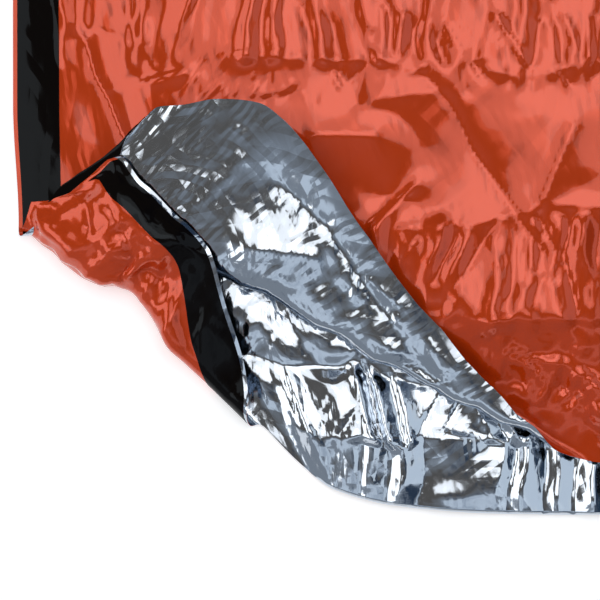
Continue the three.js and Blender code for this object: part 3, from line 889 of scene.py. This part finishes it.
def room_light(studio):
    """World of a plain room: a ceiling that gives way to walls towards the mouth, with soft dark
    patches."""
    world = bpy.data.worlds.new("studio")
    world.use_nodes = True
    tree = world.node_tree
    direction = add_node(tree, "ShaderNodeTexCoord").outputs["Generated"]
    toward = add_node(tree, "ShaderNodeSeparateXYZ", {0: direction})
    lower = add_node(tree, "ShaderNodeMapRange", {
        "Value": toward.outputs["Y"],
        "From Min": -0.15,
        "From Max": -0.4,
    })
    walls = add_node(tree, "ShaderNodeMix", {
        0: lower.outputs[0],
        6: (*studio.ceiling, 1.0),
        7: (*studio.walls, 1.0),
    }, data_type="RGBA")
    patches = add_node(tree, "ShaderNodeTexNoise", {
        "Vector": direction,
        "Scale": 5.0,
        "Detail": 3.0,
    })
    sided = add_node(tree, "ShaderNodeMath", {
        0: toward.outputs["X"],
        1: PATCH_TILT,
        2: patches.outputs["Fac"],
    }, operation="MULTIPLY_ADD")
    dark = add_node(tree, "ShaderNodeMapRange", {
        "Value": sided.outputs[0],
        "From Min": 0.56,
        "From Max": 0.72,
    })
    tone = add_node(tree, "ShaderNodeMix", {
        0: dark.outputs[0],
        6: walls.outputs[2],
        7: (*studio.corners, 1.0),
    }, data_type="RGBA")
    tree.links.new(tone.outputs[2], tree.nodes["Background"].inputs["Color"])
    return world


def get_material(name, make, *values):
    """The material of that name, made once."""
    return bpy.data.materials.get(name) or make(*values)


class BivyBagSizes(bpy.types.PropertyGroup):
    """Sizes of the bag and its tapes."""

    bag_width: FloatProperty(
        name="Width", description="Width of the flat bag", default=0.91, unit="LENGTH")
    bag_length: FloatProperty(
        name="Length", description="Length of the flat bag", default=2.13, unit="LENGTH")
    loft: FloatProperty(
        name="Loft", description="Height of the top panel over its seals", default=0.03, unit="LENGTH")
    film_gauge: FloatProperty(
        name="Film", description="Thickness that the film is drawn with", default=0.0004, unit="LENGTH")
    tape_gauge: FloatProperty(
        name="Tape", description="Thickness that the tape is drawn with", default=0.0003, unit="LENGTH")
    tape_width: FloatProperty(
        name="Tape width", description="Width of both tapes", default=0.03, unit="LENGTH")
    tape_inset: FloatProperty(
        name="Tape inset", description="Film left outside each tape", default=0.003, unit="LENGTH")


class BivyBagRelief(bpy.types.PropertyGroup):
    """How crumpled each part of the film is."""

    seed: IntProperty(
        name="Seed", description="Start of the crumple's random numbers", default=7)
    top_depth: FloatProperty(
        name="Top", description="Crumple of the lying top panel", default=1.0)
    cuff_depth: FloatProperty(
        name="Cuff", description="Crumple of the turned-back cuff", default=1.4)
    bottom_depth: FloatProperty(
        name="Bottom", description="Crumple of the bottom panel", default=1.0)
    flap_depth: FloatProperty(
        name="Flap", description="Crumple of the folded corner", default=1.2)


class BivyBagFinish(bpy.types.PropertyGroup):
    """Colours of the film and the tape."""

    film_colour: FloatVectorProperty(
        name="Film", description="Colour of the film's outside", subtype="COLOR", default=linear("#d94712"))
    film_deep: FloatVectorProperty(
        name="Film, deep", description="Deeper colour of the film's patches", subtype="COLOR",
        default=linear("#c73d0c"))
    silver_colour: FloatVectorProperty(
        name="Inside", description="Colour of the film's silver inside", subtype="COLOR",
        default=linear("#c4ccd6"))
    tape_colour: FloatVectorProperty(
        name="Tape", description="Colour of both tapes", subtype="COLOR", default=linear("#0c0807"))


class BivyBagStudio(bpy.types.PropertyGroup):
    """Camera and lights."""

    view_x: FloatProperty(
        name="View X", description="Middle of the view across", default=-0.252, unit="LENGTH")
    view_y: FloatProperty(
        name="View Y", description="Middle of the view along", default=-0.913, unit="LENGTH")
    view_width: FloatProperty(
        name="View width", description="Width that the camera sees", default=0.42, unit="LENGTH")
    camera_height: FloatProperty(
        name="Camera height", description="Camera's height over the floor", default=1.6, unit="LENGTH")
    key_power: FloatProperty(
        name="Top light", description="Power of the light overhead", default=17.5, unit="POWER")
    middle_power: FloatProperty(
        name="Middle light", description="Power of the top light's bright middle", default=3.2, unit="POWER")
    left_power: FloatProperty(
        name="Left light", description="Power of the light at the left", default=14.5, unit="POWER")
    right_power: FloatProperty(
        name="Right light", description="Power of the light at the right", default=6.5, unit="POWER")
    front_power: FloatProperty(
        name="Front light", description="Power of the light at the mouth", default=1.9, unit="POWER")
    ceiling: FloatVectorProperty(
        name="Ceiling", description="Light from straight above", subtype="COLOR",
        default=(0.118, 0.108, 0.098))
    walls: FloatVectorProperty(
        name="Walls", description="Light from the walls", subtype="COLOR", default=(0.29, 0.32, 0.36))
    corners: FloatVectorProperty(
        name="Corners", description="Light from the room's dark patches", subtype="COLOR",
        default=(0.03, 0.05, 0.085))


class BIVY_OT_top_film(bpy.types.Operator):
    """Builds the top panel with its turned-back cuff"""

    bl_idname = "bivy.top_film"
    bl_label = "Top panel"

    def execute(self, context):
        scene = context.scene
        sizes, finish = scene.bivy_sizes, scene.bivy_finish
        across, from_rim, points = top_surface(sizes, scene.bivy_relief)
        half = sizes.film_gauge / MM / 2.0
        materials = [get_material("orange_polyethylene_film", film_material, finish),
                     get_material("aluminised_film", silver_material, finish)]
        piece = shell_mesh("top_film", points, grid_normals(points), -half, half,
                           flat_places(across, from_rim), materials, 1, sizes)
        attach(piece, "root")
        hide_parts("top_panel")
        return {"FINISHED"}


class BIVY_OT_bottom_film(bpy.types.Operator):
    """Builds the bottom panel with its folded corner"""

    bl_idname = "bivy.bottom_film"
    bl_label = "Bottom panel"

    def execute(self, context):
        scene = context.scene
        sizes, finish = scene.bivy_sizes, scene.bivy_finish
        across, from_rim, points = bottom_surface(sizes, scene.bivy_relief)
        half = sizes.film_gauge / MM / 2.0
        materials = [get_material("aluminised_film", silver_material, finish),
                     get_material("orange_polyethylene_film", film_material, finish)]
        piece = shell_mesh("bottom_film", points, grid_normals(points), -half, half,
                           flat_places(across, from_rim), materials, 1, sizes)
        # The film outside the mouth tape shows silver on its outside too
        cells = (len(across) - 1, len(from_rim) - 1)
        slots = np.empty(len(piece.data.polygons), dtype=np.int32)
        piece.data.polygons.foreach_get("material_index", slots)
        outside = slots[np.prod(cells):2 * np.prod(cells)].reshape(cells)
        outside[:, from_rim[1:] < sizes.tape_inset / MM + SAME_LINE] = 0
        piece.data.polygons.foreach_set("material_index", slots)
        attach(piece, "root")
        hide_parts("bottom_panel")
        return {"FINISHED"}


class BIVY_OT_tapes(bpy.types.Operator):
    """Builds the tape along the side and the tape along the mouth"""

    bl_idname = "bivy.tapes"
    bl_label = "Tapes"

    def execute(self, context):
        scene = context.scene
        sizes, relief = scene.bivy_sizes, scene.bivy_relief
        material = get_material("black_polyester_tape", tape_material, scene.bivy_finish)
        inset, width = sizes.tape_inset / MM, sizes.tape_width / MM
        near = sizes.film_gauge / MM / 2.0 + TAPE_GAP
        far = near + sizes.tape_gauge / MM
        across, from_rim, points = top_surface(sizes, relief)
        part = (across > inset - SAME_LINE) & (across < inset + width + SAME_LINE)
        normals = grid_normals(points)
        side = shell_mesh("side_seam_tape", points[part], normals[part], near, far,
                          flat_places(across[part], from_rim), [material], 0, sizes)
        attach(side, "root")
        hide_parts("side_tape")
        across, from_rim, points = bottom_surface(sizes, relief)
        normals = grid_normals(points)
        rows = (from_rim > inset - SAME_LINE) & (from_rim < inset + width + SAME_LINE)
        columns = (across > inset - SAME_LINE) & (across < sizes.bag_width / MM - inset + SAME_LINE)
        part = np.ix_(columns, rows)
        mouth = shell_mesh("mouth_edge_tape", points[part], normals[part], -far, -near,
                           flat_places(across[columns], from_rim[rows]), [material], 0, sizes)
        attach(mouth, "root")
        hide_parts("mouth_tape")
        return {"FINISHED"}


class BIVY_OT_studio(bpy.types.Operator):
    """Builds the floor, the lights and the camera"""

    bl_idname = "bivy.studio"
    bl_label = "Studio"

    def execute(self, context):
        scene = context.scene
        studio = scene.bivy_studio
        middle = Vector((studio.view_x, studio.view_y, 0.0))
        corners = [(-1, -1), (1, -1), (1, 1), (-1, 1)]
        mesh = bpy.data.meshes.new("floor")
        mesh.from_pydata([(x * FLOOR_REACH, y * FLOOR_REACH, 0) for x, y in corners], [], [(0, 1, 2, 3)])
        mesh.materials.append(floor_material())
        floor = bpy.data.objects.new("floor", mesh)
        scene.collection.objects.link(floor)
        for name, place, aim, size, colour, power in LIGHTS:
            light = bpy.data.lights.new(name, "AREA")
            light.shape = "RECTANGLE"
            light.size, light.size_y = size
            light.energy = getattr(studio, power)
            light.color = colour
            lamp = bpy.data.objects.new(name, light)
            lamp.location = middle + Vector(place)
            lamp.rotation_euler = (Vector(aim) - Vector(place)).to_track_quat("-Z", "Y").to_euler()
            scene.collection.objects.link(lamp)
        scene.world = room_light(studio)
        camera = bpy.data.cameras.new("camera")
        camera.sensor_width = 36.0
        camera.lens = camera.sensor_width * (studio.camera_height - VIEW_LEVEL) / studio.view_width
        camera.clip_end = 100.0
        holder = bpy.data.objects.new("camera", camera)
        holder.location = middle + Vector((0.0, 0.0, studio.camera_height))
        scene.collection.objects.link(holder)
        scene.camera = holder
        scene.view_settings.view_transform = "Standard"
        return {"FINISHED"}


class BIVY_PT_sidebar(bpy.types.Panel):
    """Lists the bag's pieces and values"""

    bl_idname = "BIVY_PT_sidebar"
    bl_label = "Bivy bag"
    bl_space_type = "VIEW_3D"
    bl_region_type = "UI"
    bl_category = "Bivy bag"

    def draw(self, context):
        for operator in OPERATORS:
            self.layout.operator(operator.bl_idname)
        for name in GROUPS:
            group = getattr(context.scene, name)
            for value in group.bl_rna.properties.keys():
                if value not in ("rna_type", "name"):
                    self.layout.prop(group, value)


GROUPS = {
    "bivy_sizes": BivyBagSizes,
    "bivy_relief": BivyBagRelief,
    "bivy_finish": BivyBagFinish,
    "bivy_studio": BivyBagStudio,
}
OPERATORS = (BIVY_OT_top_film, BIVY_OT_bottom_film, BIVY_OT_tapes, BIVY_OT_studio)


def register():
    """Registers the classes and puts the value groups on the scene."""
    for cls in (*GROUPS.values(), *OPERATORS, BIVY_PT_sidebar):
        bpy.utils.register_class(cls)
    for name, cls in GROUPS.items():
        setattr(bpy.types.Scene, name, PointerProperty(type=cls))


def unregister():
    """Removes the value groups and the classes."""
    for name in GROUPS:
        delattr(bpy.types.Scene, name)
    for cls in reversed((*GROUPS.values(), *OPERATORS, BIVY_PT_sidebar)):
        bpy.utils.unregister_class(cls)


def main():
    register()
    bpy.ops.bivy.bottom_film()
    bpy.ops.bivy.top_film()
    bpy.ops.bivy.tapes()
    bpy.ops.bivy.studio()
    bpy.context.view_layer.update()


if __name__ == "__main__":
    main()
